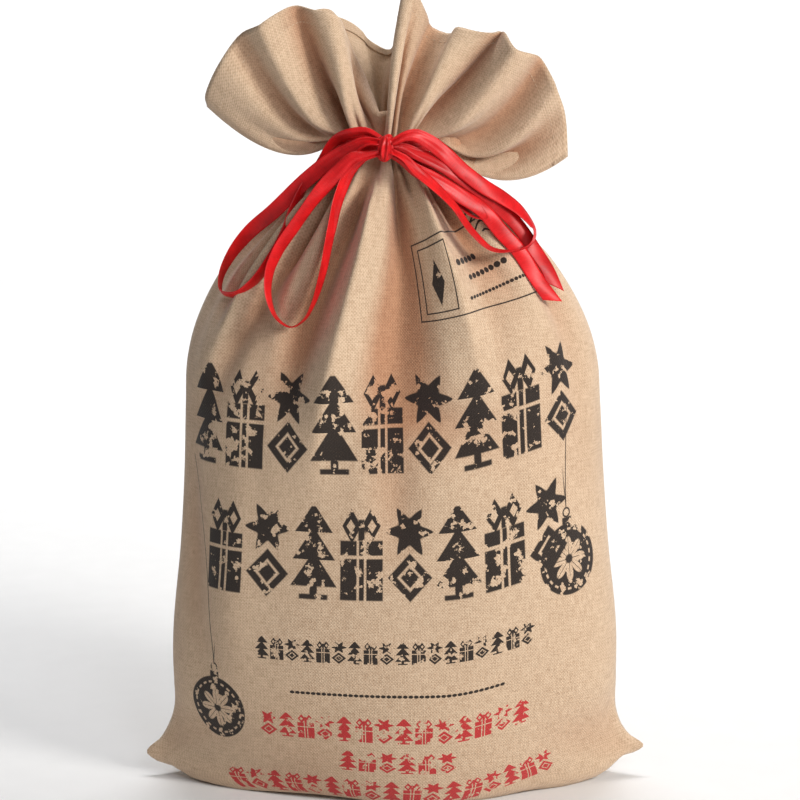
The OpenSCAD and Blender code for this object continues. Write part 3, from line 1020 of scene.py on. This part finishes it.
def parcel(narrow, up):
    """A box with a crossed band and a bow."""
    box = narrow.below(0.88, 0.03) * up.inside(-0.34, 0.62, 0.02)
    band = narrow.inside(0.15, 0.05, 0.02).either(up.inside(-0.06, 0.035, 0.015))
    bow = (abs(narrow - 0.40) / 0.40 + abs(up - 0.58) / 0.36).below(1.0, 0.06)
    hole = (abs(narrow - 0.44) / 0.18 + abs(up - 0.58) / 0.14).below(1.0, 0.1)
    knot = narrow.below(0.13, 0.03) * up.inside(0.50, 0.22, 0.02)
    return (box * band.rest()).either(bow * hole.rest()).either(knot)


def star(across_it, up):
    """A star above a pierced lozenge."""
    narrow, high = abs(across_it), (up - 0.46) * 1.9
    far = (narrow * narrow + high * high) ** 0.5
    angle = high.made("ARCTAN2", across_it)
    points = (far - (abs((angle * 3.0).sine()) * -0.50 + 1.04)).below(0.0, 0.05)
    ring = narrow / 0.92 + abs(up + 0.48) / 0.50
    return points.either(ring.below(1.0, 0.05) * ring.inside(0.50, 0.08, 0.05).rest())


def motif_rows(x, y):
    """Ink of the rows of motifs, where it is red, and where the row is one of dots."""
    in_row, red = x * 0.0, x * 0.0
    sizes = [x * 0.0 for _ in range(5)]
    for middle, half, centre, reach, width, first, is_red in PRINT_ROWS:
        here = y.inside(middle, half * 1.05, 0.00001) * x.inside(centre, reach, 0.00001)
        in_row = in_row + here
        red = red + here * float(is_red)
        for k, value in enumerate((middle, half, centre - reach, width, float(first))):
            sizes[k] = sizes[k] + here * value
    middle, half, start, width, first = sizes
    step = (x - start) / width.either(0.001)
    count = step.made("FLOOR")
    across_it = ((step - count) - 0.5) * 2.0
    narrow, up = abs(across_it), (y - middle) / half.either(0.001)
    kind = (count + first).made("MODULO", 3.0)
    motif = (fir(narrow, up) * kind.below(0.5, 0.1)
             + parcel(narrow, up) * kind.inside(1.0, 0.4, 0.1)
             + star(across_it, up) * kind.above(1.5, 0.1))
    dot = (narrow * narrow + up * up).below(0.8, 0.2)
    is_dots = first.above(2.5, 0.1)
    return (motif * is_dots.rest() + dot * is_dots) * in_row, red, is_dots


def baubles(x, y):
    """Ink of the two baubles with a flower in each, and the threads that they hang from."""
    side = x.above(0.0, 0.0001)
    left, right = BAUBLES
    bx, by, size = (side * (right[k] - left[k]) + left[k] for k in range(3))
    px, py = (x - bx) / size, (y - by) / size
    far = (px * px + py * py) ** 0.5
    angle = py.made("ARCTAN2", px)
    petals = (far - (abs((angle * 4.0).made("COSINE")) ** 0.7 * 0.42 + 0.20)).below(0.0, 0.03)
    veins = (abs((angle * 4.0).sine()) * far).below(0.035, 0.02)
    petals = petals * far.below(0.13, 0.03).rest() * veins.rest()
    studs = far.inside(0.83, 0.03, 0.015) * (angle * 22.0).sine().above(-0.1, 0.3)
    ball = far.below(1.0, 0.02) * petals.either(studs).rest()
    cap = abs(px).below(0.17, 0.02) * py.inside(1.07, 0.10, 0.02)
    loop = ((px * px + (py - 1.30) * (py - 1.30)) ** 0.5).inside(0.12, 0.025, 0.015)
    swing = ((py - 1.4) / 5.6).either(0.0) ** 1.4 * (side * -0.65 + 1.25)
    thread = (abs(px) - swing).inside(0.0, 0.016, 0.010) * py.above(1.40, 0.02)
    thread = thread * (py - (side * -3.2 + 7.6)).below(0.0, 0.05)
    thread = thread * (px * (side * 2.0 - 1.0)).above(-0.05, 0.02)
    return ball.either(cap).either(loop), thread


def framed_label(x, y):
    """Ink of the label's lozenge and wavy bars, and the thin lines of its two frames."""
    fx, fy, wide, high = LABEL
    lx, ly = x - fx, y - fy + ((x - fx) * 38.0).sine() * 0.0022
    panel_x = lx + wide - 0.022
    border = (abs(lx) - wide).either(abs(ly) - high).inside(0.0, 0.0006, 0.0003)
    inner = (abs(panel_x) - 0.0155).either(abs(ly) - high + 0.006).inside(0.0, 0.0006, 0.0003)
    lozenge = (abs(panel_x) / 0.0065 + abs(ly + 0.003) / 0.019).below(1.0, 0.06)
    wx, wy = x - WAVY_BARS[0], y - WAVY_BARS[1]
    waves = (y + (wx * 260.0).sine() * 0.0022) * (2 * math.pi / 0.0068)
    bars = waves.sine().above(0.72, 0.12) * ((wx * wx + wy * wy) ** 0.5).below(WAVY_BARS[2], 0.0004)
    return lozenge.either(bars), border.either(inner)


def print_ornament(nodes, colour, threads):
    """The black and red print: rows of firs, parcels and stars, two baubles and a framed label."""
    place = nodes.place("cloth")
    x, y = nodes.split(place)
    y = y - nodes.between(x, 0.04, 0.19, 0.0, 0.022)   # the rows rise towards the right
    motifs, red, is_dots = motif_rows(x, y)
    balls, hanging = baubles(x, y)
    label, frames = framed_label(x, y)

    # worn ink: flakes lost in patches, and thinner where the threads dip
    flakes = nodes.noise(place, 95, 4, 0.62)
    patches = nodes.noise(nodes.place("cloth", (1, 1, 1), 0.7), 22, 2, 0.5)
    worn = (flakes + (patches - 0.5) * 0.35).below(0.575, 0.012).either(is_dots)
    ink = motifs.either(balls).either(label) * worn
    ink = ink.either(hanging).either(frames) * nodes.between(threads, 0.35, 0.95, 0.72, 1.0)
    colours = settings()[2]
    tint = nodes.mix(red, tuple(colours.black_ink), tuple(colours.red_ink))
    return nodes.mix(ink * 0.96, colour, tint)


def satin_material(name, shade=1.0):
    satin = settings()[2].satin
    nodes = Nodes(name)
    fine = nodes.noise(nodes.place("cloth", (160, 2600, 1)), 1.0, 2, 0.5)
    soft = nodes.noise(nodes.place("cloth"), 45, 2, 0.5)
    # A shade below 1 makes a darker copy of the satin for ribbon lying in shade: painted shade.
    dark = tuple(part * 0.62 * shade for part in satin)
    light = tuple(min(1.0, part * 1.1 * shade + 0.004) for part in satin)
    tone = nodes.between(fine * 0.4 + soft * 0.6, 0.3, 0.7)
    nodes.set(Base_Color=nodes.mix(tone, dark, light),
              Roughness=nodes.between(fine, 0.2, 0.8, 0.34, 0.48),
              Anisotropic=0.6, Specular_IOR_Level=0.34)
    nodes.bump(fine, 0.06 * MM, 0.5)
    return nodes.material


def wadding_material(name):
    nodes = Nodes(name)
    fibres = nodes.noise(nodes.place(None, (90, 90, 90)), 1.0, 6, 0.7)
    nodes.set(Base_Color=nodes.mix(fibres, (0.60, 0.58, 0.54), (0.86, 0.85, 0.82)),
              Roughness=0.97, Sheen_Weight=0.4, Sheen_Roughness=0.6)
    nodes.bump(fibres, 1.5 * MM, 0.8)
    return nodes.material


def thread_material(name):
    nodes = Nodes(name)
    twist = nodes.noise(nodes.place(None, (1400, 1400, 1400)), 1.0, 2, 0.5)
    nodes.set(Base_Color=nodes.mix(twist, (0.52, 0.37, 0.25), (0.74, 0.58, 0.42)), Roughness=0.8)
    nodes.bump(twist, 0.1 * MM, 0.6)
    return nodes.material


# ---------------- stage

FOCAL_LENGTH, SENSOR = 137.9, 36
CAMERA_AT = (0.0046, -2.728, 0.990)
CAMERA_AIM = (0.0046, 0.0, 0.360)
MIDDLE = (0.0, 0.0, 0.36)
# Lights: name, place, aim, width in metres, power in watts and colour.
LIGHTS = (
    ("key", (1.85, -1.55, 1.5), MIDDLE, 0.8, 52, (1.0, 0.97, 0.93)),
    ("fill", (0.8, -2.4, 1.9), (0.0, 0.0, 0.5), 1.0, 18, (0.95, 0.96, 1.0)),
    ("top", (0.35, 0.6, 2.2), MIDDLE, 1.2, 8, (1, 1, 1)),
    ("backdrop", (0.0, 1.0, 3.0), (0.0, 3.9, 0.9), 1.6, 120, (1, 1, 1)),
)
ROOM_COLOUR, ROOM_STRENGTH = (0.92, 0.93, 0.95, 1), 0.18
FLOOR_SIZE, FLOOR_BACK, FLOOR_RISE = 12, 5, 2.2


def point_at(piece, place, aim):
    """Put a camera or a light at a place, turned towards its aim."""
    piece.location = place
    piece.rotation_euler = (Vector(aim) - Vector(place)).to_track_quat("-Z", "Y").to_euler()
    bpy.context.scene.collection.objects.link(piece)


def area_light(name, place, aim, size, power, colour):
    light = bpy.data.lights.new(name, "AREA")
    light.shape = "DISK"
    light.size = size
    light.energy = power
    light.color = colour
    point_at(bpy.data.objects.new(name, light), place, aim)


def floor_points(u, v):
    """A flat floor, just under the sack, that curves up into a backdrop far behind it."""
    rise = FLOOR_RISE * ease(0.28, 0.0, v) ** 2 - 0.5 * MM
    return np.stack([(u - 0.5) * FLOOR_SIZE, FLOOR_BACK - FLOOR_SIZE * v, rise], axis=-1)


class SackStage(bpy.types.Operator):
    """Set up the floor, the soft studio lights and the camera"""
    bl_idname = "gift_sack.stage"
    bl_label = "Stage and camera"

    def execute(self, context):
        lens = bpy.data.cameras.new("camera")
        lens.lens = FOCAL_LENGTH
        lens.sensor_width = SENSOR
        camera = bpy.data.objects.new("camera", lens)
        point_at(camera, CAMERA_AT, CAMERA_AIM)
        context.scene.camera = camera
        context.scene.view_settings.view_transform = "Standard"
        for facts in LIGHTS:
            area_light(*facts)
        world = context.scene.world or bpy.data.worlds.new("studio")
        context.scene.world = world
        world.use_nodes = True
        background = world.node_tree.nodes["Background"]
        background.inputs[0].default_value = ROOM_COLOUR
        background.inputs[1].default_value = ROOM_STRENGTH
        floor = grid_piece("floor", 40, 40, floor_points)
        nodes = Nodes("floor_paper")
        grain = nodes.noise(nodes.place(), 30, 3)
        nodes.set(Base_Color=nodes.mix(grain, (0.80, 0.80, 0.80), (0.84, 0.84, 0.84)),
                  Roughness=0.8)
        dress(floor, nodes.material)
        return {"FINISHED"}


# ---------------- operators

class SackRibbons(bpy.types.Operator):
    """Make the bow's loops and tails along their routes"""
    bl_idname = "gift_sack.ribbons"
    bl_label = "Ribbon bow"

    def execute(self, context):
        # The right inner loop and the rear tail lie behind the others and get the satin darkened to
        # 0.8: painted shade.
        bright, deep = satin_material("satin_red"), satin_material("satin_red_shade", 0.8)
        for node in RIBBONS:
            make_ribbon(node, deep if node in ("right_inner_loop", "rear_tail") else bright)
        return {"FINISHED"}


class SackKnot(bpy.types.Operator):
    """Make the wrap round the neck and the knot"""
    bl_idname = "gift_sack.knot"
    bl_label = "Wrap and knot"

    def execute(self, context):
        satin = satin_material("satin_red")
        make_wrap(satin)
        make_knot(satin)
        return {"FINISHED"}


class SackPanels(bpy.types.Operator):
    """Make the front and back panels of gathered cloth"""
    bl_idname = "gift_sack.panels"
    bl_label = "Front and back panels"

    def execute(self, context):
        make_panel("front_panel", -1, cloth_material("hessian_printed", printed=True))
        make_panel("back_panel", 1, cloth_material("hessian_plain"))
        return {"FINISHED"}


class SackSewing(bpy.types.Operator):
    """Make the seams, the mouth's hems and their stitches"""
    bl_idname = "gift_sack.sewing"
    bl_label = "Seams and hems"

    def execute(self, context):
        # The hems and seams lie inside the mouth and the sack, so they get the cloth darkened to
        # 0.9: painted shade.
        edge = cloth_material("hessian_edge_shaded", shade=0.9)
        thread = thread_material("sewing_thread")
        make_hem("mouth_hem_front", -1, edge)
        make_hem("mouth_hem_back", 1, edge)
        make_stitches("front_hem_stitches", -1, thread)
        make_stitches("back_hem_stitches", 1, thread)
        make_seam("left_side_seam", side_edge(0.0), edge)
        make_seam("right_side_seam", side_edge(1.0), edge)
        make_seam("bottom_seam", base_edge, edge)
        return {"FINISHED"}


class SackFilling(bpy.types.Operator):
    """Make the soft filling inside the sack"""
    bl_idname = "gift_sack.filling"
    bl_label = "Filling"

    def execute(self, context):
        make_filling(wadding_material("wadding"))
        return {"FINISHED"}


class SackPanel(bpy.types.Panel):
    """Sizes, colours and making of the gift sack"""
    bl_idname = "VIEW3D_PT_gift_sack"
    bl_label = "Gift Sack"
    bl_space_type = "VIEW_3D"
    bl_region_type = "UI"
    bl_category = "Gift Sack"

    def draw(self, context):
        for group in settings():
            box = self.layout.box()
            for name in group.__annotations__:
                box.prop(group, name)
        for maker in MAKERS:
            self.layout.operator(maker.bl_idname)


MAKERS = (SackStage, SackRibbons, SackKnot, SackPanels, SackSewing, SackFilling)
GROUPS = {"gift_sack": SackSettings, "gift_ribbon": RibbonSettings, "gift_colours": ColourSettings}


def register():
    for kind in (*GROUPS.values(), *MAKERS, SackPanel):
        bpy.utils.register_class(kind)
    for name, group in GROUPS.items():
        setattr(bpy.types.Scene, name, PointerProperty(type=group))


def unregister():
    for name in GROUPS:
        delattr(bpy.types.Scene, name)
    for kind in reversed((*GROUPS.values(), *MAKERS, SackPanel)):
        bpy.utils.unregister_class(kind)


def main():
    register()
    for maker in MAKERS:
        group, call = maker.bl_idname.split(".")
        getattr(getattr(bpy.ops, group), call)()


if __name__ == "__main__":
    main()
